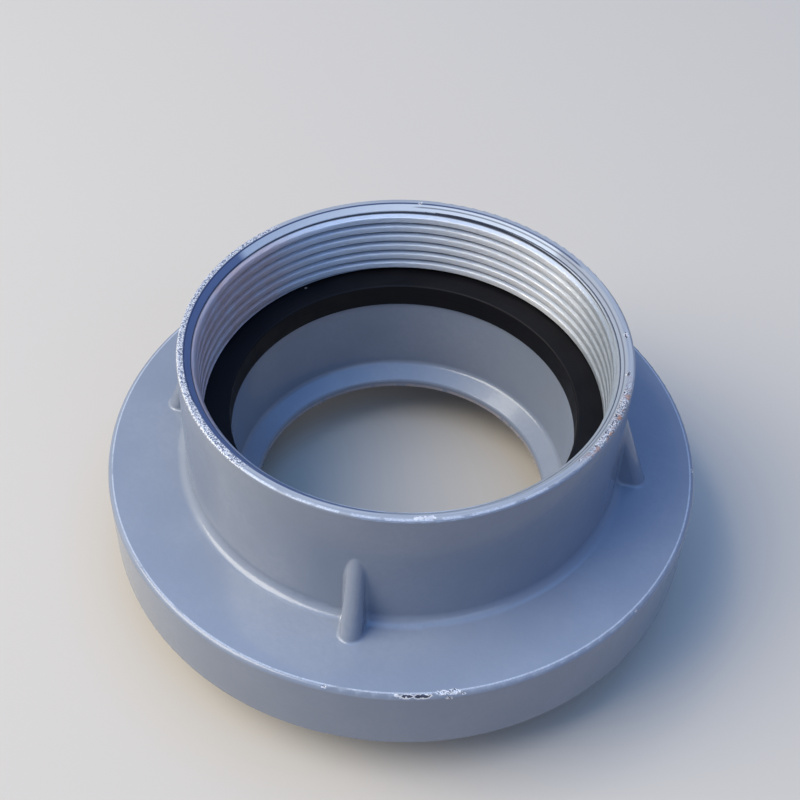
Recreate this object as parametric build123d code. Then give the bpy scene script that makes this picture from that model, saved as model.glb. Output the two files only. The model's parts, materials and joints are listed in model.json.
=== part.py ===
from build123d import *
from math import hypot
import os

# Fixed fire coupling, size 65: a pipe thread above, a two-claw quick coupling below.
# Millimetres. The origin is the middle of the base that the two claws stand on, and +Z
# runs up the axis to the mouth of the thread. The claws lie on the X axis.
# The radii are worked out from the thread outwards, and come to a ring 111 mm across.
# The heights are worked out from the claws' ends upwards, and come to 52 mm.

# Female pipe thread, cut plain at its major diameter, and the neck round it
thread_major_diameter = 75.184
neck_height = 26.3
rim_wall = 2.36
rim_round = 0.45
mouth_chamfer = 1.05
neck_draft = 0.65
neck_fillet = 1.8

# Seat at the bottom of the thread, and the relief in the wall above it
seat_height = 5.75
seat_width = 6.0
relief_depth = 0.6

# Flat gasket on the seat, held by the relief
gasket_thickness = 4.8
gasket_overhang = 0.3
gasket_side_play = 0.25
gasket_top_play = 0.25
gasket_edge_round = 0.35

# Ledge that narrows the bore to the opening at its bottom
ledge_width = 3.9
ledge_height = 3.4
ledge_land = 1.6
ledge_fillet = 1.0
ledge_edge_round = 0.5

# Groove for the face seal, and the boss round it
groove_wall = 2.4
groove_width = 4.8
groove_depth = 5.5
groove_mouth = 1.4
groove_undercut = 0.6
boss_wall = 2.2

# Face seal
seal_side_play = 0.1
seal_stand = 1.2
seal_nose_width = 3.4
seal_nose_round = 0.6

# Claws
claw_angles = (0.0, 180.0)
claw_arc = 52.0
claw_reach = 11.1
claw_to_boss = 0.7
claw_wall = 3.6
hook_overhang = 2.5
hook_height = 4.6
claw_end_round = 1.0
claw_tip_round = 0.5
claw_root_round = 1.0

# Room in the ring for the other half's claws, and the ramps that they turn on to
hook_play = 2.2
reach_play = 0.5
cavity_round = 1.2
lock_lead = 14.0
ramp_arc = 34.0
ramp_play = 2.1
ramp_overlap = 2.0
ramp_end_round = 0.8

# Outer ring and the web that joins it to the neck
ring_wall = 4.9
ring_draft = 0.35
web_thickness = 3.0
ring_top_round = 0.9
ring_foot_round = 0.8

# Ribs between the ring and the neck
rib_count = 4
rib_height = 15.8
rib_foot_length = 5.4
rib_foot_width = 3.8
rib_top_width = 3.0
rib_fillet = 0.6

# How far a cut or a root runs past the face that it meets, and how closely edges are told apart
overrun = 1.0
closeness = 0.01

# Radii that follow
thread_radius = thread_major_diameter / 2
neck_rim_radius = thread_radius + rim_wall
neck_base_radius = neck_rim_radius + neck_draft
relief_radius = thread_radius + relief_depth
bore_radius = relief_radius - seat_width
waterway_radius = bore_radius - ledge_width
groove_inner = bore_radius + groove_wall
groove_outer = groove_inner + groove_width
boss_radius = groove_outer + boss_wall
claw_inner = boss_radius + claw_to_boss
claw_outer = claw_inner + claw_wall
hook_radius = claw_outer + hook_overhang
ramp_radius = hook_radius - ramp_overlap
cavity_radius = hook_radius + hook_play
ring_radius = cavity_radius + ring_wall
ring_top_radius = ring_radius - ring_draft

# Heights that follow
ring_face = claw_reach
ramp_foot = ring_face + claw_reach - hook_height - ramp_play
groove_floor = ring_face + groove_depth
web_under = ring_face + claw_reach + reach_play
ring_top = web_under + web_thickness
seat = ring_top + seat_height
gasket_top = seat + gasket_thickness
relief_top = gasket_top + gasket_top_play
rim_top = ring_top + neck_height


def turned(outline, arc=360.0, start=0.0):
    """Solid turned about Z from (radius, height) points, over an arc that begins at start."""
    section = Plane.XZ * make_face(Polyline(*outline, close=True))
    return Rot(0, 0, start) * revolve(section, Axis.Z, arc)


def ring(inner, outer, low, high, arc=360.0, start=0.0):
    """Plain ring, or a slice of one, from one radius and one height to another."""
    return turned([(inner, low), (outer, low), (outer, high), (inner, high)], arc, start)


def hoops(part, radius, height):
    """The part's round edges of one radius at one height."""
    def is_hoop(edge):
        level = abs(edge.center().Z - height) < closeness
        return level and abs(edge.radius - radius) < closeness
    return part.edges().filter_by(GeomType.CIRCLE).filter_by(is_hoop)


def uprights(part, radius):
    """The part's upright edges at one radius."""
    def stands(edge):
        middle = edge.center()
        return abs(hypot(middle.X, middle.Y) - radius) < closeness
    return part.edges().filter_by(Axis.Z).filter_by(stands)


def climb(arc):
    """How far a claw rises as it turns through an arc."""
    return lock_lead * arc / 360


def under_ramp(inner, outer, arc, start, foot, depth):
    """What lies below a right-hand ramp that climbs from the height of its foot."""
    inner_edge = Helix(lock_lead, climb(arc), inner)
    outer_edge = Helix(lock_lead, climb(arc), outer)
    ramp = Face.make_surface_from_curves(inner_edge.edge(), outer_edge.edge())
    return Rot(0, 0, start) * Pos(0, 0, foot) * extrude(ramp, depth, dir=(0, 0, -1))


def hull():
    """Ring and neck as one casting, still solid inside."""
    blank = turned([
        (0, ring_face),
        (ring_radius, ring_face),
        (ring_top_radius, ring_top),
        (neck_base_radius, ring_top),
        (neck_rim_radius, rim_top),
        (0, rim_top),
    ])
    blank = fillet(hoops(blank, neck_base_radius, ring_top), neck_fillet)
    blank = fillet(hoops(blank, ring_top_radius, ring_top), ring_top_round)
    blank = fillet(hoops(blank, ring_radius, ring_face), ring_foot_round)
    return fillet(hoops(blank, neck_rim_radius, rim_top), rim_round)


def rib_outline(height):
    """Round-nosed outline of a rib at a height above the ring, reaching into the neck's wall."""
    rise = height / rib_height
    foot_tip = neck_base_radius + rib_foot_length
    top_tip = neck_base_radius - neck_draft * rib_height / neck_height
    tip = foot_tip + (top_tip - foot_tip) * rise
    width = rib_foot_width + (rib_top_width - rib_foot_width) * rise
    length = tip - width / 2 - bore_radius
    return Pos(bore_radius + length / 2, 0, ring_top + height) * SlotCenterToCenter(length, width)


def ribbed_hull():
    """The hull with its gussets, filleted where they meet the ring and the neck."""
    plain = hull()
    gusset = loft([rib_outline(-overrun), rib_outline(rib_height + overrun)], ruled=True)
    gussets = [Rot(0, 0, number * 360 / rib_count) * gusset for number in range(rib_count)]
    casting = plain + gussets
    return fillet(new_edges(plain, *gussets, combined=casting), rib_fillet)


def waterways():
    """Everything cut down the axis: thread, relief, gasket seat, bore, ledge and opening."""
    land_top = ring_face + ledge_land
    ledge_top = ring_face + ledge_height
    mouth_radius = thread_radius + mouth_chamfer
    cut = turned([
        (0, ring_face - overrun),
        (waterway_radius, ring_face - overrun),
        (waterway_radius, land_top),
        (bore_radius, ledge_top),
        (bore_radius, seat),
        (relief_radius, seat),
        (relief_radius, relief_top),
        (thread_radius, relief_top),
        (thread_radius, rim_top - mouth_chamfer),
        (mouth_radius, rim_top),
        (mouth_radius, rim_top + overrun),
        (0, rim_top + overrun),
    ])
    cut = fillet(hoops(cut, bore_radius, ledge_top), ledge_fillet)
    return fillet(hoops(cut, waterway_radius, land_top), ledge_edge_round)


def seal_groove():
    """Groove in the boss's face, wider inside than at its mouth so that it holds the seal."""
    inner = groove_inner - groove_undercut
    outer = groove_outer + groove_undercut
    mouth = ring(groove_inner, groove_outer, ring_face - overrun, groove_floor)
    return mouth + ring(inner, outer, ring_face + groove_mouth, groove_floor)


def cavity():
    """Ring-shaped room between the boss and the outer ring, where the other half's claws turn."""
    room = ring(boss_radius, cavity_radius, ring_face - overrun, web_under)
    corners = hoops(room, boss_radius, web_under) + hoops(room, cavity_radius, web_under)
    return fillet(corners, cavity_round)


def claw(angle):
    """Curved claw that stands on the web, with a hook outwards at its end."""
    start = angle - claw_arc / 2
    root = ring(boss_radius - overrun, claw_outer, ring_face, web_under + overrun, claw_arc, start)
    stem = ring(claw_inner, claw_outer, 0, ring_face + overrun, claw_arc, start)
    blank = ring(claw_outer - overrun, hook_radius, 0, 2 * hook_height, claw_arc, start)
    catch_foot = hook_height - climb(claw_arc) / 2
    catch = under_ramp(claw_inner, hook_radius + overrun, claw_arc, start, catch_foot, 2 * hook_height)
    arm = stem + (blank & catch)
    ends = arm.edges().filter_by(Axis.Z).filter_by(lambda edge: edge.center().Z < hook_height)
    arm = fillet(ends, claw_end_round)
    tip = arm.edges().filter_by_position(Axis.Z, 0, 0)
    return root + fillet(tip, claw_tip_round)


def ramp(angle):
    """Ramp inside the ring, from the entry gap up to the claw that stops the other half."""
    start = angle - claw_arc / 2 - ramp_arc
    blank = ring(ramp_radius, cavity_radius + overrun, ring_face, web_under, ramp_arc, start)
    below = under_ramp(ramp_radius - overrun, ring_radius, ramp_arc, start, ramp_foot, web_under)
    block = blank & below
    return fillet(uprights(block, ramp_radius), ramp_end_round)


def coupling_body():
    """The casting, machined."""
    casting = ribbed_hull() - cavity()
    for angle in claw_angles:
        casting += claw(angle)
        casting += ramp(angle)
    casting = fillet(hoops(casting, claw_outer, web_under), claw_root_round)
    casting -= seal_groove()
    casting -= waterways()
    return casting


def thread_gasket():
    """Flat rubber ring on the seat under the thread."""
    inner = bore_radius - gasket_overhang
    disc = ring(inner, relief_radius - gasket_side_play, seat, gasket_top)
    return fillet(hoops(disc, inner, gasket_top), gasket_edge_round)


def face_seal():
    """Rubber ring in the boss's groove, with a nose that meets the other half's seal."""
    inner = groove_inner + seal_side_play
    outer = groove_outer - seal_side_play
    nose_inner = (inner + outer - seal_nose_width) / 2
    nose_outer = nose_inner + seal_nose_width
    nose = ring_face - seal_stand
    shoulder = ring_face + groove_mouth + seal_side_play
    seal = turned([
        (nose_inner, nose),
        (nose_outer, nose),
        (outer, ring_face),
        (outer, shoulder),
        (outer + groove_undercut, shoulder),
        (outer + groove_undercut, groove_floor),
        (inner - groove_undercut, groove_floor),
        (inner - groove_undercut, shoulder),
        (inner, shoulder),
        (inner, ring_face),
    ])
    return fillet(hoops(seal, nose_inner, nose) + hoops(seal, nose_outer, nose), seal_nose_round)


parts = {
    "coupling_body": coupling_body(),
    "thread_gasket": thread_gasket(),
    "face_seal": face_seal(),
}

os.makedirs("parts", exist_ok=True)
for name, shape in parts.items():
    export_step(shape, f"parts/{name}.step")
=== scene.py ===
import bmesh
import bpy
import json
from math import cos, pi, radians, sin, tan
from mathutils import Matrix, Vector


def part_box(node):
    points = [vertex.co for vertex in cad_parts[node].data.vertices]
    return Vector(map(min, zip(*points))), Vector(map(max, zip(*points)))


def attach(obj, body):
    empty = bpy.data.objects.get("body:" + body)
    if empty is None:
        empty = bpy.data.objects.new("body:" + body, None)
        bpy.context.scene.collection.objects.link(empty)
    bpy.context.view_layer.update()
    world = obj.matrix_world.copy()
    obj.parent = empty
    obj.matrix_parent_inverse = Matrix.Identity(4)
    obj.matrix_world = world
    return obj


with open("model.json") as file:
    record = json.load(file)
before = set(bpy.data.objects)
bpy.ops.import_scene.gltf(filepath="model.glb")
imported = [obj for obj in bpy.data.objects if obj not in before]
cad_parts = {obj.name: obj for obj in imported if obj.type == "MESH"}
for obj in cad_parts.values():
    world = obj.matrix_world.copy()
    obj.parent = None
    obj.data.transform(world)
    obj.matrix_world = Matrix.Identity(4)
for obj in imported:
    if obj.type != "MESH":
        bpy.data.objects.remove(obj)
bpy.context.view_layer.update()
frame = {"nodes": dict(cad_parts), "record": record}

# Metres, in the frame's own axes: +Z up the waterway, with the photograph's front at azimuth 280.


# Coupling body
# One aluminium casting: the wide ring, the neck, its four ribs, and the claws below. The mouth, the
# bore and the rim are turned on a lathe, and then the whole is sprayed with a glossy blue-grey paint.
# Handling has rubbed the paint off the sharp edges, and has chipped it through to the metal.

coupling_body = frame["nodes"]["coupling_body"]
mounts = {mount["name"]: mount for mount in frame["record"]["mounts"]}
thread_mount = mounts["pipe_thread"]
thread_wall = thread_mount["dims"]["r_mm"] / 1000
thread_length = thread_mount["dims"]["length_mm"] / 1000
thread_foot = thread_mount["pos_m"][2] - thread_length / 2
chamfer_foot = thread_foot + thread_length
opening_edge = mounts["waterway"]["dims"]["r_mm"] / 1000
ring_face = mounts["ring_face"]["pos_m"][2]
rim_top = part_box("coupling_body")[1].z
rim_inner_edge = thread_wall + rim_top - chamfer_foot
rim_outer_edge = rim_inner_edge + 0.00101
ring_top = rim_top - 0.0263
ring_top_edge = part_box("coupling_body")[1].x - 0.00117

paint_blue = (0.235, 0.272, 0.345, 1)
paint_pale = (0.265, 0.300, 0.370, 1)
rubbed_paint = (0.37, 0.40, 0.45, 1)
rubbed_edge_and_highlight = (0.72, 0.77, 0.86, 1)
edge_shadow = (0.05, 0.075, 0.16, 1)
cone_painted_light_back = (0.56, 0.62, 0.70, 1)
cone_tone_right = (0.30, 0.34, 0.41, 1)
cone_painted_shade_left = (0.13, 0.18, 0.32, 1)
root_shade_and_tool_mark = (0.05, 0.06, 0.09, 1)
bare_metal = (0.80, 0.79, 0.80, 1)
pit_dark = (0.045, 0.050, 0.075, 1)
rust = (0.42, 0.22, 0.15, 1)
worn_flash = (0.43, 0.38, 0.39, 1)

# Chips, each with its azimuth in degrees, radius, height, half width, and length to width
ring_chips = [
    (280.2, 0.05455, ring_top - 0.00025, 0.00026, 1.6),
    (281.9, 0.05465, ring_top - 0.00035, 0.00040, 3.0),
    (284.7, 0.05465, ring_top - 0.00035, 0.00042, 3.6),
    (288.0, 0.05435, ring_top - 0.00010, 0.00042, 2.4),
    (289.9, 0.05440, ring_top - 0.00015, 0.00046, 2.6),
    (289.2, 0.05490, ring_top - 0.00080, 0.00036, 2.2),
    (291.6, 0.05475, ring_top - 0.00050, 0.00022, 3.0),
    (267.8, 0.05460, ring_top - 0.00030, 0.00030, 1.5),
    (4.5, 0.05460, ring_top - 0.00030, 0.00030, 1.5),
    (327.8, 0.05470, ring_top - 0.00030, 0.00025, 1.5),
]
rim_chips = [
    (283.6, 0.03925, rim_top, 0.00030, 2.2),
    (286.2, 0.03930, rim_top, 0.00034, 2.6),
    (327.2, 0.03870, rim_top, 0.00035, 1.3),
    (333.4, 0.03885, rim_top, 0.00035, 1.5),
    (335.8, 0.03880, rim_top, 0.00040, 1.6),
    (338.6, 0.03895, rim_top, 0.00035, 2.0),
    (341.7, 0.03890, rim_top, 0.00042, 3.0),
    (345.2, 0.03875, rim_top, 0.00040, 2.0),
    (349.2, 0.03870, rim_top, 0.00045, 3.4),
    (353.7, 0.03865, rim_top, 0.00030, 1.6),
    (0.5, 0.03870, rim_top, 0.00045, 1.3),
    (14.7, 0.03890, rim_top, 0.00035, 1.8),
    (97.1, 0.03870, rim_top, 0.00035, 1.5),
]
dark_ring_chips = ring_chips[1:3]
flecked_ring_chips = ring_chips[3:]
pale_rim_chips = rim_chips[:2]
dark_rim_chips = rim_chips[2:]

mask_blur = 0.00004
noise_range = (0.3, 0.7)


def put(tree, kind, *values, named=None, **settings):
    """Add a node, set its properties, then give its inputs, by place or by name, a value or a link."""
    node = tree.nodes.new(kind)
    for setting, choice in settings.items():
        setattr(node, setting, choice)
    wanted = dict(enumerate(values))
    wanted.update(named or {})
    for place, value in wanted.items():
        if isinstance(value, bpy.types.NodeSocket):
            tree.links.new(value, node.inputs[place])
        else:
            node.inputs[place].default_value = value
    return node


def work_out(tree, operation, *values):
    """Result of a Math node."""
    return put(tree, "ShaderNodeMath", *values, operation=operation).outputs[0]


def rise(tree, value, start, end, low=0.0, high=1.0):
    """Smooth change from low to high as a value goes from start to end."""
    steps = put(tree, "ShaderNodeMapRange", value, start, end, low, high, interpolation_type="SMOOTHSTEP")
    return steps.outputs[0]


def above(tree, value, level):
    """Mask of where a length is past a level."""
    return rise(tree, value, level - mask_blur, level + mask_blur)


def below(tree, value, level):
    """Mask of where a length is short of a level."""
    return rise(tree, value, level + mask_blur, level - mask_blur)


def opposite(tree, mask):
    """Everywhere that a mask isn't."""
    return work_out(tree, "SUBTRACT", 1.0, mask)


def both(tree, first, *others):
    """Where all of several masks are."""
    shared = first
    for mask in others:
        shared = work_out(tree, "MULTIPLY", shared, mask)
    return shared


def either(tree, first, *others):
    """Where any of several masks is."""
    strongest = first
    for mask in others:
        strongest = work_out(tree, "MAXIMUM", strongest, mask)
    return strongest


def lay_over(tree, under, over, mask):
    """One colour laid over another as far as a mask says."""
    return put(tree, "ShaderNodeMix", named={0: mask, 6: under, 7: over}, data_type="RGBA").outputs[2]


def split(tree, vector):
    """The three parts of a vector."""
    return put(tree, "ShaderNodeSeparateXYZ", vector).outputs


def flat_reach(tree, place):
    """A place without its height, and its distance from the axis."""
    flat = put(tree, "ShaderNodeVectorMath", place, (1.0, 1.0, 0.0), operation="MULTIPLY").outputs[0]
    return flat, put(tree, "ShaderNodeVectorMath", flat, operation="LENGTH").outputs["Value"]


def noise(tree, place, size, detail):
    """Noise with lumps of a real size."""
    scale = work_out(tree, "DIVIDE", 1.0, size)
    lumps = put(tree, "ShaderNodeTexNoise", named={"Vector": place, "Scale": scale, "Detail": detail})
    return rise(tree, lumps.outputs[0], *noise_range)


def new_effect(name, result, **inputs):
    """Empty shader group that takes the place and other named inputs, and gives one result."""
    tree = bpy.data.node_groups.new(name, "ShaderNodeTree")
    tree.interface.new_socket("Place", in_out="INPUT", socket_type="NodeSocketVector")
    for socket, default in inputs.items():
        kind = "NodeSocketVector" if isinstance(default, tuple) else "NodeSocketFloat"
        tree.interface.new_socket(socket, in_out="INPUT", socket_type=kind).default_value = default
    tree.interface.new_socket(result, in_out="OUTPUT", socket_type="NodeSocketFloat")
    return tree, tree.nodes.new("NodeGroupInput").outputs, tree.nodes.new("NodeGroupOutput").inputs


def use(tree, effect, place, **values):
    """Result of an effect that is placed in a material with its own values."""
    return put(tree, "ShaderNodeGroup", node_tree=effect, named={"Place": place, **values}).outputs[0]


def new_material(name):
    """Material with one Principled shader, and the piece's own coordinates in metres."""
    material = bpy.data.materials.new(name)
    material.use_nodes = True
    tree = material.node_tree
    place = put(tree, "ShaderNodeTexCoord").outputs["Object"]
    return material, tree, tree.nodes["Principled BSDF"].inputs, place


def roughen(tree, shader, relief, strength, depth):
    """Bump of a material, from a relief and the depth that it has."""
    bump = put(tree, "ShaderNodeBump", named={"Strength": strength, "Distance": depth, "Height": relief})
    tree.links.new(bump.outputs[0], shader["Normal"])


# Grain: soft noise with lumps of a real size
grain, give, take = new_effect("grain", "Mask", Size=0.001, Detail=3.0)
grain.links.new(noise(grain, give["Place"], give["Size"], give["Detail"]), take["Mask"])

# Turning marks: fine rings left by a lathe tool, each a little uneven along its length
turning_radius = 0.04
turning, give, take = new_effect("turning marks", "Mask", Size=0.0002, Length=0.02)
flat, reach = flat_reach(turning, give["Place"])
around = put(turning, "ShaderNodeVectorMath", flat, operation="NORMALIZE").outputs[0]
x, y, z = split(turning, around)
stretch = work_out(turning, "DIVIDE", turning_radius, give["Length"])
along_x = work_out(turning, "MULTIPLY", x, stretch)
along_y = work_out(turning, "MULTIPLY", y, stretch)
height = split(turning, give["Place"])["Z"]
up = work_out(turning, "DIVIDE", height, give["Size"])
across = work_out(turning, "DIVIDE", reach, give["Size"])
rings = put(turning, "ShaderNodeCombineXYZ", along_x, along_y, up).outputs[0]
marks = put(turning, "ShaderNodeTexNoise", noise_dimensions="4D", named={
    "Vector": rings, "W": across, "Scale": 1.0, "Detail": 2.0})
turning.links.new(rise(turning, marks.outputs[0], *noise_range), take["Mask"])

# Edge lines: patches along a round edge, for rubbed paint, for painted highlight and for painted shade
edge_lines, give, take = new_effect("edge wear", "Mask", Radius=0.04, Height=0.05, Width=0.0005,
                                   Patch=0.002, Cover=0.5)
reach = flat_reach(edge_lines, give["Place"])[1]
height = split(edge_lines, give["Place"])["Z"]
sideways = work_out(edge_lines, "SUBTRACT", reach, give["Radius"])
upwards = work_out(edge_lines, "SUBTRACT", height, give["Height"])
offset = put(edge_lines, "ShaderNodeCombineXYZ", sideways, upwards, 0.0).outputs[0]
away = put(edge_lines, "ShaderNodeVectorMath", offset, operation="LENGTH").outputs["Value"]
solid = work_out(edge_lines, "MULTIPLY", give["Width"], 0.5)
near = rise(edge_lines, away, give["Width"], solid)
patches = noise(edge_lines, give["Place"], give["Patch"], 4.0)
bare_from = work_out(edge_lines, "SUBTRACT", 0.85, give["Cover"])
bare_to = work_out(edge_lines, "ADD", bare_from, 0.3)
edge_lines.links.new(both(edge_lines, near, rise(edge_lines, patches, bare_from, bare_to)), take["Mask"])

# Sector: the stretch of the way round that faces one direction, as far as a cosine says
sector, give, take = new_effect("sector", "Mask", Towards=(1.0, 0.0, 0.0), Cosine=0.5, Soft=0.06)
flat = flat_reach(sector, give["Place"])[0]
around = put(sector, "ShaderNodeVectorMath", flat, operation="NORMALIZE").outputs[0]
facing = put(sector, "ShaderNodeVectorMath", around, give["Towards"], operation="DOT_PRODUCT").outputs["Value"]
full = work_out(sector, "ADD", give["Cosine"], give["Soft"])
sector.links.new(rise(sector, facing, give["Cosine"], full), take["Mask"])

# Chip: how far a place is from a chip on a round edge, in the chip's own half widths
chip, give, take = new_effect("chip", "Distance", Azimuth=0.0, Radius=0.04, Height=0.05, Width=0.0005,
                              Stretch=1.0)
turned_back = work_out(chip, "MULTIPLY", give["Azimuth"], -pi / 180)
turned = put(chip, "ShaderNodeVectorRotate", rotation_type="Z_AXIS", named={
    "Vector": give["Place"], "Angle": turned_back}).outputs[0]
centre = put(chip, "ShaderNodeCombineXYZ", give["Radius"], 0.0, give["Height"]).outputs[0]
offset = put(chip, "ShaderNodeVectorMath", turned, centre, operation="SUBTRACT").outputs[0]
shortened = work_out(chip, "DIVIDE", 1.0, give["Stretch"])
shape = put(chip, "ShaderNodeCombineXYZ", 1.0, shortened, 1.0).outputs[0]
offset = put(chip, "ShaderNodeVectorMath", offset, shape, operation="MULTIPLY").outputs[0]
away = put(chip, "ShaderNodeVectorMath", offset, operation="LENGTH").outputs["Value"]
chip.links.new(work_out(chip, "DIVIDE", away, give["Width"]), take["Distance"])

# Specks: lone grains of grit or spatter, one to a cell of a real size
specks, give, take = new_effect("specks", "Mask", Cell=0.008, Radius=0.0001)
scale = work_out(specks, "DIVIDE", 1.0, give["Cell"])
cells = put(specks, "ShaderNodeTexVoronoi", named={"Vector": give["Place"], "Scale": scale})
away = work_out(specks, "MULTIPLY", cells.outputs["Distance"], give["Cell"])
core = work_out(specks, "MULTIPLY", give["Radius"], 0.6)
specks.links.new(rise(specks, away, give["Radius"], core), take["Mask"])


def side(tree, place, azimuth, half, soft=0.06):
    """Mask of the way round within some degrees of an azimuth."""
    towards = (cos(radians(azimuth)), sin(radians(azimuth)), 0.0)
    return use(tree, sector, place, Towards=towards, Cosine=cos(radians(half)), Soft=soft)


def nearest_chip(tree, place, chips):
    """Distance to the nearest chip of a list, in that chip's half widths."""
    distances = []
    for azimuth, radius, height, width, stretch in chips:
        distances.append(use(tree, chip, place, Azimuth=azimuth, Radius=radius, Height=height,
                             Width=width, Stretch=stretch))
    nearest = distances[0]
    for distance in distances[1:]:
        nearest = work_out(tree, "MINIMUM", nearest, distance)
    return nearest


def inside_chips(tree, distance, ragged, wander, share):
    """Mask of chips drawn at a share of their size, with a ragged outline."""
    outline = work_out(tree, "MULTIPLY_ADD", ragged, 2 * wander, -wander)
    outline = work_out(tree, "DIVIDE", work_out(tree, "ADD", distance, outline), share)
    return rise(tree, outline, 1.1, 0.9)


paint, tree, shader, place = new_material("blue_grey_paint")
height = split(tree, place)["Z"]
reach = flat_reach(tree, place)[1]
mottle = use(tree, grain, place, Size=0.014, Detail=2.0)
orange_peel = use(tree, grain, place, Size=0.0011, Detail=2.0)
grit = use(tree, grain, place, Size=0.00022, Detail=2.0)
ragged = use(tree, grain, place, Size=0.00053, Detail=3.0)
lathe = use(tree, turning, place, Size=0.00016, Length=0.012)
pale_cover = both(tree, mottle, rise(tree, orange_peel, 0.0, 1.0, 0.6, 1.0))
colour = lay_over(tree, paint_blue, paint_pale, pale_cover)

# Thread roots are darkened, as painted shade. The chamfer has a coat that is thin at the back, and thick on
# the left, and its colours are also painted light and shade.
root_play = 0.00010
cone_start = chamfer_foot - 0.00019
in_root = both(tree, below(tree, reach, thread_wall + root_play), above(tree, reach, thread_wall - root_play),
               above(tree, height, thread_foot))
colour = lay_over(tree, colour, root_shade_and_tool_mark, in_root)
on_cone = both(tree, above(tree, height, cone_start), below(tree, reach, rim_inner_edge - mask_blur))
# The chamfer's colour by azimuth is painted light and shade over the thin and thick coat: lighter at the back,
# darker on the left, a middle tone on the right.
cone_colour = lay_over(tree, cone_tone_right, cone_painted_light_back, side(tree, place, 105, 55))
cone_colour = lay_over(tree, cone_colour, cone_painted_shade_left, side(tree, place, 215, 62))
tool_mark = thread_wall + 0.00052
marked = both(tree, above(tree, reach, tool_mark - root_play), below(tree, reach, tool_mark + root_play),
              side(tree, place, 30, 70), 0.7)
cone_colour = lay_over(tree, cone_colour, root_shade_and_tool_mark, marked)
colour = lay_over(tree, colour, cone_colour, on_cone)

# The rim is scuffed all round, torn on the left and gouged on the right
scuff_range = (0.1, 0.7)
spark_range = (0.50, 0.72)
torn_dark_range = (0.30, 0.16)
gouge_dark_range = (0.54, 0.40)
on_rim = both(tree, above(tree, height, rim_top - 0.0002), above(tree, reach, rim_inner_edge))
torn = both(tree, on_rim, side(tree, place, 190, 52))
gouged = both(tree, on_rim, side(tree, place, 343, 18))
sparks = both(tree, either(tree, torn, gouged), rise(tree, grit, *spark_range))
colour = lay_over(tree, colour, rubbed_paint, both(tree, on_rim, rise(tree, lathe, *scuff_range, 0.45, 1.0)))
# The rim's outer edge is paler on the left: rubbed paint, and a painted highlight.
rim_line = use(tree, edge_lines, place, Radius=rim_outer_edge, Height=rim_top, Width=0.00030,
               Patch=0.0022, Cover=0.75)
rim_line = both(tree, rim_line, side(tree, place, 235, 85), rise(tree, grit, 0.0, 1.0, 0.25, 0.75))
colour = lay_over(tree, colour, rubbed_edge_and_highlight, rim_line)
# The ring's top edge has a thin pale line all round: rubbed paint, and a painted highlight.
ring_line = use(tree, edge_lines, place, Radius=ring_top_edge, Height=ring_top, Width=0.00018,
                Patch=0.0035, Cover=0.95)
ring_line = both(tree, ring_line, rise(tree, grit, 0.0, 1.0, 0.3, 0.6))
colour = lay_over(tree, colour, rubbed_edge_and_highlight, ring_line)
colour = lay_over(tree, colour, bare_metal, sparks)
# Dark flecks in the torn stretch and in the gouges are painted shade.
colour = lay_over(tree, colour, edge_shadow, both(tree, torn, rise(tree, grit, *torn_dark_range)))
colour = lay_over(tree, colour, pit_dark, both(tree, gouged, rise(tree, grit, *gouge_dark_range)))
# A dark line along the rim's inner edge, at the back and left, is painted shade.
inner_line = use(tree, edge_lines, place, Radius=rim_inner_edge - mask_blur, Height=rim_top, Width=0.00024,
                 Patch=0.004, Cover=1.1)
colour = lay_over(tree, colour, edge_shadow, both(tree, inner_line, side(tree, place, 130, 88)))
flash_line = use(tree, edge_lines, place, Radius=opening_edge, Height=ring_face, Width=0.0009,
                 Patch=0.0012, Cover=0.85)
colour = lay_over(tree, colour, worn_flash, flash_line)

# Chips go through the paint to bright metal, and their deep places are dark
rust_range = (0.60, 0.75)
fleck_range = (0.45, 0.35)
deep_range = (0.75, 0.50)
ring_distance = nearest_chip(tree, place, ring_chips)
rim_distance = nearest_chip(tree, place, rim_chips)
ring_chipped = inside_chips(tree, ring_distance, ragged, 0.2, 1.0)
rim_chipped = inside_chips(tree, rim_distance, ragged, 0.5, 1.0)
chipped = either(tree, ring_chipped, rim_chipped)
dark_ring = inside_chips(tree, nearest_chip(tree, place, dark_ring_chips), ragged, 0.2, 0.72)
dark_rim = inside_chips(tree, nearest_chip(tree, place, dark_rim_chips), ragged, 0.5, 0.85)
dark_rim = both(tree, dark_rim, rise(tree, grit, *deep_range))
flecked = inside_chips(tree, nearest_chip(tree, place, flecked_ring_chips), ragged, 0.3, 0.9)
pitted = either(tree, dark_ring, dark_rim, both(tree, flecked, rise(tree, grit, *fleck_range)))
spatter = both(tree, use(tree, specks, place, Cell=0.011, Radius=0.00012), rise(tree, mottle, 0.4, 0.6))
colour = lay_over(tree, colour, rust, both(tree, gouged, rise(tree, orange_peel, *rust_range)))
colour = lay_over(tree, colour, bare_metal, either(tree, chipped, spatter))
colour = lay_over(tree, colour, pit_dark, pitted)
tree.links.new(colour, shader["Base Color"])

bright = both(tree, either(tree, chipped, sparks), opposite(tree, pitted))
tree.links.new(both(tree, bright, rise(tree, orange_peel, 0.0, 1.0, 0.2, 0.5)), shader["Metallic"])
worn = either(tree, bright, on_cone, both(tree, on_rim, rise(tree, lathe, 0.0, 1.0, 0.2, 0.7)))
gloss_range = (0.27, 0.42)
cone_dullness = work_out(tree, "MULTIPLY", on_cone, 0.15)
dullness = work_out(tree, "ADD", rise(tree, worn, 0.0, 1.0, *gloss_range), cone_dullness)
tree.links.new(dullness, shader["Roughness"])
full_coat = 0.45
tree.links.new(rise(tree, worn, 0.0, 0.6, full_coat, 0.0), shader["Coat Weight"])
shader["Coat Roughness"].default_value = 0.1
relief = work_out(tree, "MULTIPLY_ADD", grit, 0.08, orange_peel)
scuffs = both(tree, on_rim, rise(tree, lathe, 0.0, 1.0, 0.0, 1.5))
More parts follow.
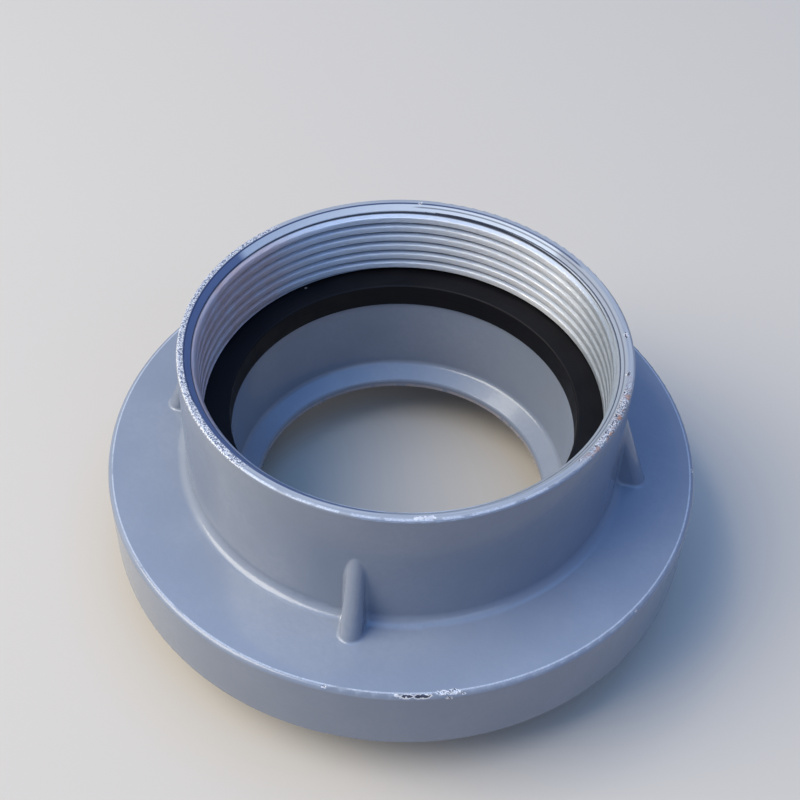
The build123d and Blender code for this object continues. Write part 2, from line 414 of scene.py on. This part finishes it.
tears = both(tree, either(tree, torn, gouged), grit, rise(tree, grit, 0.0, 1.0, 3.0, 5.0))
relief = work_out(tree, "ADD", relief, work_out(tree, "ADD", scuffs, tears))
relief = work_out(tree, "MULTIPLY_ADD", chipped, -4.0, relief)
roughen(tree, shader, relief, strength=0.3, depth=0.00004)
coupling_body.data.materials.clear()
coupling_body.data.materials.append(paint)


# Pipe thread
# A right-hand 55 degree pipe thread, 11 turns to the inch, cut on the lathe inside the neck. Its crests
# are bored flat, and the spray reaches it as a thin coat that lets the bright metal show. The body's
# solid has the thread's major diameter as a plain wall, and this piece is its ridge.

inch = 0.0254
thread_pitch = inch / 11
flank_angle = radians(27.5)
crest_flat = 0.00115
root_flat = 0.00012
crest_round = 0.00010
thread_depth = (thread_pitch - crest_flat - root_flat) / 2 / tan(flank_angle)
set_in_wall = 0.0001
crest_height = 0.04635
turns_below_crest = 5
turns = 8.0
steps_a_turn = 160
sharp_angle = radians(50)

thread_blue = (0.66, 0.77, 0.93, 1)
thread_pale = (0.74, 0.82, 0.93, 1)
thread_silver_and_highlight = (0.86, 0.84, 0.82, 1)
thread_shade = (0.34, 0.38, 0.43, 1)
thread_flank_shade = (0.50, 0.59, 0.74, 1)
thread_floor_reflection = (0.66, 0.50, 0.50, 1)


def rounded(before, corner, after, steps=3):
    """Points of a smooth bend that replaces a corner."""
    points = []
    for step in range(steps + 1):
        share = step / steps
        points.append(before.lerp(corner, share).lerp(corner.lerp(after, share), share))
    return points


def thread_section():
    """One pitch of the ridge: points outwards from the wall and along the axis, closed behind the wall."""
    corner = Vector((-thread_depth, crest_flat / 2))
    before = corner - Vector((0, crest_round))
    after = corner + Vector((cos(flank_angle), sin(flank_angle))) * crest_round
    root = (thread_pitch - root_flat) / 2
    upper = rounded(before, corner, after) + [Vector((0, root)), Vector((set_in_wall, root))]
    return upper + [Vector((point.x, -point.y)) for point in reversed(upper)]


def new_piece(name, data):
    """Object of finished data, at the origin."""
    piece = bpy.data.objects.new(name, data)
    bpy.context.scene.collection.objects.link(piece)
    return piece


def new_tree(name, **inputs):
    """Empty Geometry Nodes tree with named inputs beside its geometry."""
    tree = bpy.data.node_groups.new(name, "GeometryNodeTree")
    tree.interface.new_socket("Geometry", in_out="INPUT", socket_type="NodeSocketGeometry")
    tree.interface.new_socket("Geometry", in_out="OUTPUT", socket_type="NodeSocketGeometry")
    for socket, kind in inputs.items():
        tree.interface.new_socket(socket, in_out="INPUT", socket_type="NodeSocket" + kind)
    return tree, tree.nodes.new("NodeGroupInput").outputs, tree.nodes.new("NodeGroupOutput").inputs


def end_tree(tree, take, geometry, material):
    """Close a tree with plain geometry of one material."""
    plain = put(tree, "GeometryNodeRealizeInstances", geometry).outputs[0]
    plain = put(tree, "GeometryNodeSetMaterial", plain, named={"Material": material}).outputs[0]
    tree.links.new(plain, take["Geometry"])


def grow(piece, tree, **values):
    """Run a tree on a piece with its own values, and keep what it makes as the piece's plain mesh."""
    modifier = piece.modifiers.new(tree.name, "NODES")
    modifier.node_group = tree
    inputs = [item for item in tree.interface.items_tree if item.in_out == "INPUT"]
    sockets = {item.name: item.identifier for item in inputs}
    for name, value in values.items():
        modifier[sockets[name]] = value
    made = piece.evaluated_get(bpy.context.evaluated_depsgraph_get())
    piece.data = bpy.data.meshes.new_from_object(made)
    piece.modifiers.remove(modifier)
    piece.data.name = piece.name


def trim(mesh, low, high):
    """Cut a closed mesh off square below one height and above another, and close the cuts."""
    closeness = 1e-7
    shape = bmesh.new()
    shape.from_mesh(mesh)
    for height, outward in ((low, -1), (high, 1)):
        everything = shape.verts[:] + shape.edges[:] + shape.faces[:]
        cut = bmesh.ops.bisect_plane(shape, geom=everything, dist=closeness, plane_co=(0, 0, height),
                                     plane_no=(0, 0, outward), clear_outer=True)["geom_cut"]
        outlines = [part for part in cut if isinstance(part, bmesh.types.BMEdge)]
        bmesh.ops.triangle_fill(shape, edges=outlines, use_beauty=True)
    bmesh.ops.remove_doubles(shape, verts=shape.verts, dist=closeness)
    bmesh.ops.recalc_face_normals(shape, faces=shape.faces)
    shape.to_mesh(mesh)
    shape.free()


thin_coat, tree, shader, place = new_material("thin_coat_on_thread")
streaks = use(tree, turning, place, Size=0.00012, Length=0.004)
grit = use(tree, grain, place, Size=0.00024, Detail=2.0)
patches = use(tree, grain, place, Size=0.006, Detail=3.0)
pale = both(tree, rise(tree, streaks, 0.0, 1.0, 0.4, 1.0), rise(tree, patches, 0.0, 1.0, 0.5, 1.0))
# Silvery at the back right: a painted highlight, with bright metal showing through the thin coat.
silvery_highlight = both(tree, side(tree, place, 62, 50, 0.35), rise(tree, grit, 0.0, 1.0, 0.5, 1.0))
shaded = side(tree, place, 348, 66, 0.45)
# Brown at the left: a painted reflection of the floor.
floor_reflection = both(tree, side(tree, place, 185, 60, 0.4), rise(tree, patches, 0.0, 1.0, 0.7, 0.95))
reach = flat_reach(tree, place)[1]
crest = thread_wall - thread_depth
on_flank = rise(tree, reach, crest + 0.00006, crest + 0.00030)
near_root = rise(tree, reach, thread_wall - 0.00032, thread_wall - 0.00010)
# The flanks are darker than the crests, as painted shade.
flank_shade = both(tree, on_flank, opposite(tree, floor_reflection), opposite(tree, shaded), rise(
    tree, patches, 0.0, 1.0, 0.5, 0.8))
colour = lay_over(tree, thread_blue, thread_pale, pale)
colour = lay_over(tree, colour, thread_silver_and_highlight, silvery_highlight)
colour = lay_over(tree, colour, thread_shade, shaded)
colour = lay_over(tree, colour, thread_floor_reflection, floor_reflection)
colour = lay_over(tree, colour, thread_flank_shade, flank_shade)
# The thread's roots are darkened, as painted shade.
colour = lay_over(tree, colour, root_shade_and_tool_mark, near_root)
tree.links.new(colour, shader["Base Color"])
tree.links.new(rise(tree, grit, 0.4, 0.8, 0.0, 0.4), shader["Metallic"])
tree.links.new(rise(tree, on_flank, 0.0, 1.0, 0.30, 0.48), shader["Roughness"])
roughen(tree, shader, work_out(tree, "MULTIPLY_ADD", grit, 0.5, streaks), strength=1.0, depth=0.00005)

ridge, give, take = new_tree("thread ridge", Pitch="Float", Turns="Float", Steps="Int", Wall="Float",
                             Start="Float", Chamfer="Float", Material="Material")
length = work_out(ridge, "MULTIPLY", give["Pitch"], give["Turns"])
helix = put(ridge, "GeometryNodeCurveSpiral", named={
    "Resolution": give["Steps"], "Rotations": give["Turns"], "Start Radius": give["Wall"],
    "End Radius": give["Wall"], "Height": length, "Reverse": True}).outputs[0]
upright = put(ridge, "GeometryNodeSetCurveNormal", helix, mode="Z_UP").outputs[0]
tool = put(ridge, "GeometryNodeMeshToCurve", give["Geometry"]).outputs[0]
cut = put(ridge, "GeometryNodeCurveToMesh", named={
    "Curve": upright, "Profile Curve": tool, "Fill Caps": True}).outputs[0]
up = put(ridge, "ShaderNodeCombineXYZ", 0.0, 0.0, give["Start"]).outputs[0]
cut = put(ridge, "GeometryNodeTransform", cut, named={"Translation": up}).outputs[0]

# Near the mouth, the chamfer's cone takes the tops off the crests
point = put(ridge, "GeometryNodeInputPosition").outputs[0]
height = split(ridge, point)["Z"]
flat, reach = flat_reach(ridge, point)
below_cone = work_out(ridge, "SUBTRACT", give["Chamfer"], height)
cone = work_out(ridge, "SUBTRACT", give["Wall"], below_cone)
reach = work_out(ridge, "MAXIMUM", reach, cone)
x, y, z = split(ridge, put(ridge, "ShaderNodeVectorMath", flat, operation="NORMALIZE").outputs[0])
new_x = work_out(ridge, "MULTIPLY", x, reach)
new_y = work_out(ridge, "MULTIPLY", y, reach)
topped = put(ridge, "ShaderNodeCombineXYZ", new_x, new_y, height).outputs[0]
cut = put(ridge, "GeometryNodeSetPosition", cut, named={"Position": topped}).outputs[0]
end_tree(ridge, take, cut, give["Material"])

section = thread_section()
corners = len(section)
outline = bpy.data.meshes.new("thread_section")
outline.from_pydata([point.to_3d() for point in section], [(i, (i + 1) % corners) for i in range(corners)], [])
pipe_thread = new_piece("pipe_thread", outline)
grow(pipe_thread, ridge, Pitch=thread_pitch, Turns=turns, Steps=steps_a_turn, Wall=thread_wall,
     Start=crest_height - turns_below_crest * thread_pitch, Chamfer=chamfer_foot, Material=thin_coat)
trim(pipe_thread.data, thread_foot, chamfer_foot)
pipe_thread.data.set_sharp_from_angle(angle=sharp_angle)
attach(pipe_thread, "root")


# Burrs
# Small torn flakes of metal and paint. They stand on the rim's inner edge at the left, in the gouges on
# the right, and at the ring's chipped edge, and a row of casting flash hangs round the lower opening.

flake_metal = (0.62, 0.64, 0.68, 1)
flake_paint = (0.20, 0.25, 0.36, 1)
torn_range = (0.35, 0.60)

torn_metal, tree, shader, place = new_material("torn_metal")
grit = use(tree, grain, place, Size=0.00025, Detail=2.0)
bare = rise(tree, grit, *torn_range)
tree.links.new(lay_over(tree, flake_paint, flake_metal, bare), shader["Base Color"])
tree.links.new(rise(tree, bare, 0.0, 1.0, 0.0, 0.6), shader["Metallic"])
tree.links.new(rise(tree, grit, 0.0, 1.0, 0.45, 0.30), shader["Roughness"])

cast_flash, tree, shader, place = new_material("cast_flash")
grit = use(tree, grain, place, Size=0.0004, Detail=2.0)
tree.links.new(lay_over(tree, flake_paint, worn_flash, rise(tree, grit, *torn_range)), shader["Base Color"])
tree.links.new(rise(tree, grit, 0.0, 1.0, 0.60, 0.40), shader["Roughness"])

# Flakes on an arc, each strayed, turned, tilted and sized at random
least_tilt = (-0.9, -0.3, -0.8)
most_tilt = (0.9, 0.9, 0.8)
size_seed_step = 7.0
flakes, give, take = new_tree("torn flakes", Radius="Float", Height="Float", Start="Float", Sweep="Float",
                              Count="Int", Size="Float", Scatter="Vector", Seed="Int", Material="Material")
arc = put(flakes, "GeometryNodeCurveArc", named={
    "Resolution": 64, "Radius": give["Radius"], "Start Angle": give["Start"], "Sweep Angle": give["Sweep"]})
spots = put(flakes, "GeometryNodeCurveToPoints", arc.outputs[0], named={"Count": give["Count"]}, mode="COUNT")
least = put(flakes, "ShaderNodeVectorMath", give["Scatter"], named={"Scale": -1.0}, operation="SCALE")
stray = put(flakes, "FunctionNodeRandomValue", data_type="FLOAT_VECTOR", named={
    "Min": least.outputs[0], "Max": give["Scatter"], "Seed": give["Seed"]}).outputs[0]
spots = put(flakes, "GeometryNodeSetPosition", spots.outputs[0], named={"Offset": stray}).outputs[0]
x, y, z = split(flakes, put(flakes, "GeometryNodeInputPosition").outputs[0])
outward = put(flakes, "ShaderNodeCombineXYZ", 0.0, 0.0, work_out(flakes, "ARCTAN2", y, x)).outputs[0]
tilt = put(flakes, "FunctionNodeRandomValue", data_type="FLOAT_VECTOR", named={
    "Min": least_tilt, "Max": most_tilt, "Seed": give["Seed"]}).outputs[0]
turn = put(flakes, "ShaderNodeVectorMath", outward, tilt, operation="ADD").outputs[0]
size_seed = work_out(flakes, "ADD", give["Seed"], size_seed_step)
share = put(flakes, "FunctionNodeRandomValue", named={"Seed": size_seed}).outputs[1]
scale = work_out(flakes, "MULTIPLY", give["Size"], rise(flakes, share, 0.0, 1.0, 0.35, 1.0))
row = put(flakes, "GeometryNodeInstanceOnPoints", named={
    "Points": spots, "Instance": give["Geometry"], "Rotation": turn, "Scale": scale}).outputs[0]
up = put(flakes, "ShaderNodeCombineXYZ", 0.0, 0.0, give["Height"]).outputs[0]
row = put(flakes, "GeometryNodeTransform", row, named={"Translation": up}).outputs[0]
end_tree(flakes, take, row, give["Material"])

# One flake, one unit long, that points inwards
shard_points = [
    (0.15, -0.45, -0.15),
    (0.15, 0.40, -0.15),
    (0.10, 0.05, 0.20),
    (-0.55, -0.20, -0.02),
    (-0.85, 0.15, 0.05),
]
shard_faces = [(0, 1, 2), (0, 3, 1), (0, 2, 3), (1, 4, 2), (2, 4, 3), (1, 3, 4)]


def add_flakes(name, radius, height, start, sweep, count, size, scatter, seed, material):
    """Row of flakes from one azimuth, over a sweep in degrees."""
    shard = bpy.data.meshes.new(name)
    shard.from_pydata(shard_points, [], shard_faces)
    row = new_piece(name, shard)
    grow(row, flakes, Radius=radius, Height=height, Start=radians(start), Sweep=radians(sweep), Count=count,
         Size=size, Scatter=(scatter, scatter, scatter / 2), Seed=seed, Material=material)
    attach(row, "root")


add_flakes("rim_burrs", radius=rim_inner_edge + 0.00002, height=rim_top - 0.00014, start=186, sweep=60,
           count=84, size=0.00026, scatter=0.00005, seed=3, material=torn_metal)
add_flakes("rim_gouges", radius=rim_inner_edge + 0.00020, height=rim_top - 0.00018, start=326, sweep=36,
           count=40, size=0.00034, scatter=0.00022, seed=5, material=torn_metal)
add_flakes("ring_burrs", radius=ring_top_edge + 0.00020, height=ring_top - 0.00012, start=279.5, sweep=12,
           count=22, size=0.00032, scatter=0.00012, seed=11, material=torn_metal)
add_flakes("opening_flash", radius=opening_edge - 0.00002, height=ring_face + 0.00010, start=0, sweep=358,
           count=210, size=0.00040, scatter=0.00006, seed=17, material=cast_flash)


# Gasket and face seal
# Two rings of black rubber: a flat one, laid loose on the seat under the thread, and one pressed into
# the groove on the underside. The rubber is matt, with a little dust and a few specks on it.

gasket_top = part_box("thread_gasket")[1].z
rubber_black = (0.0035, 0.0032, 0.0045, 1)
rubber_worn = (0.0065, 0.0060, 0.0080, 1)
dust_grey = (0.30, 0.29, 0.28, 1)

rubber, tree, shader, place = new_material("black_rubber")
clouds = use(tree, grain, place, Size=0.007, Detail=3.0)
grit = use(tree, grain, place, Size=0.00025, Detail=2.0)
rings = use(tree, turning, place, Size=0.0006, Length=0.03)
colour = lay_over(tree, rubber_black, rubber_worn, both(tree, clouds, rise(tree, rings, 0.0, 1.0, 0.5, 1.0)))
dust = both(tree, use(tree, specks, place, Cell=0.0035, Radius=0.00006), rise(tree, clouds, 0.3, 0.6), grit)
lone_speck = nearest_chip(tree, place, [(133.8, 0.0365, gasket_top, 0.00022, 1.4)])
lone_speck = inside_chips(tree, lone_speck, grit, 0.2, 1.0)
colour = lay_over(tree, colour, dust_grey, either(tree, dust, lone_speck))
tree.links.new(colour, shader["Base Color"])
tree.links.new(rise(tree, clouds, 0.0, 1.0, 0.50, 0.62), shader["Roughness"])
shader["Specular IOR Level"].default_value = 0.22
roughen(tree, shader, work_out(tree, "MULTIPLY_ADD", grit, 0.5, rings), strength=0.4, depth=0.00002)
for name in ("thread_gasket", "face_seal"):
    seal = frame["nodes"][name]
    seal.data.materials.clear()
    seal.data.materials.append(rubber)


# Floor
# A plain pale floor under the coupling. It looks pale to the camera and in the gloss, and throws little
# light back up, so that the coupling's lower faces keep their shade.

floor_half = 3.0
floor_pale = (0.64, 0.58, 0.50, 1)
floor_bounce = (0.16, 0.155, 0.15, 1)

floor_corners = [(-floor_half, -floor_half, 0), (floor_half, -floor_half, 0), (floor_half, floor_half, 0),
                 (-floor_half, floor_half, 0)]
floor_mesh = bpy.data.meshes.new("floor")
floor_mesh.from_pydata(floor_corners, [], [(0, 1, 2, 3)])
floor = new_piece("floor", floor_mesh)
plain_floor, tree, shader, place = new_material("plain_floor")
path = put(tree, "ShaderNodeLightPath").outputs
seen = either(tree, path["Is Camera Ray"], path["Is Glossy Ray"], path["Is Transmission Ray"])
tree.links.new(lay_over(tree, floor_bounce, floor_pale, seen), shader["Base Color"])
shader["Roughness"].default_value = 0.95
floor_mesh.materials.append(plain_floor)


# Light
# Soft daylight of a studio: a dome that is blue overhead and pale on the left, with a small bright gap
# at the right, and one large softbox high on the left.

sky_low = (0.18, 0.22, 0.35, 1)
sky_high = (0.40, 0.86, 1.85, 1)
sky_left = (0.98, 0.94, 0.84, 1)
sky_gap = (0.90, 1.30, 2.00, 1)
left_of_dome = (-0.92, -0.05, 0.39)
gap_of_dome = (0.52, -0.57, 0.64)
dome_strength = 0.85

world = bpy.data.worlds.new("soft_dome")
world.use_nodes = True
bpy.context.scene.world = world
tree = world.node_tree
direction = put(tree, "ShaderNodeTexCoord").outputs["Generated"]
leftness = put(tree, "ShaderNodeVectorMath", direction, left_of_dome, operation="DOT_PRODUCT").outputs["Value"]
gapness = put(tree, "ShaderNodeVectorMath", direction, gap_of_dome, operation="DOT_PRODUCT").outputs["Value"]
dome = lay_over(tree, sky_low, sky_high, rise(tree, split(tree, direction)["Z"], 0.72, 0.92))
dome = lay_over(tree, dome, sky_left, rise(tree, leftness, 0.35, 1.0))
dome = lay_over(tree, dome, sky_gap, rise(tree, gapness, 0.955, 0.985))
background = tree.nodes["Background"].inputs
tree.links.new(dome, background["Color"])
background["Strength"].default_value = dome_strength

aim = Vector((0, 0, ring_top))
softbox = bpy.data.lights.new("left_softbox", "AREA")
softbox.size = 0.8
softbox.energy = 11.6
softbox.color = (1.0, 0.95, 0.84)
softbox_holder = new_piece("left_softbox", softbox)
softbox_holder.location = (-0.66, -0.28, 0.86)
softbox_holder.rotation_euler = (aim - softbox_holder.location).to_track_quat("-Z", "Y").to_euler()


# Camera
# It stands in front and above, at the photograph's angle, with the lens that its circles fit.

camera_distance = 0.2372
camera_turn = radians(9.5)
camera_height = radians(48.55)
camera_tilt = radians(1.81)
camera_pan = radians(0.18)
camera_roll = radians(2.32)
stand = Matrix.Rotation(camera_turn, 3, "Z") @ Matrix.Rotation(pi / 2 - camera_height, 3, "X")
look = stand @ Matrix.Rotation(camera_pan, 3, "Y") @ Matrix.Rotation(camera_tilt, 3, "X")
look = look @ Matrix.Rotation(camera_roll, 3, "Z")
lens = bpy.data.cameras.new("camera")
lens.lens = 56.07
camera = new_piece("camera", lens)
camera.matrix_world = Matrix.Translation(aim + stand @ Vector((0, 0, camera_distance))) @ look.to_4x4()
bpy.context.scene.camera = camera
bpy.context.scene.view_settings.view_transform = "Standard"
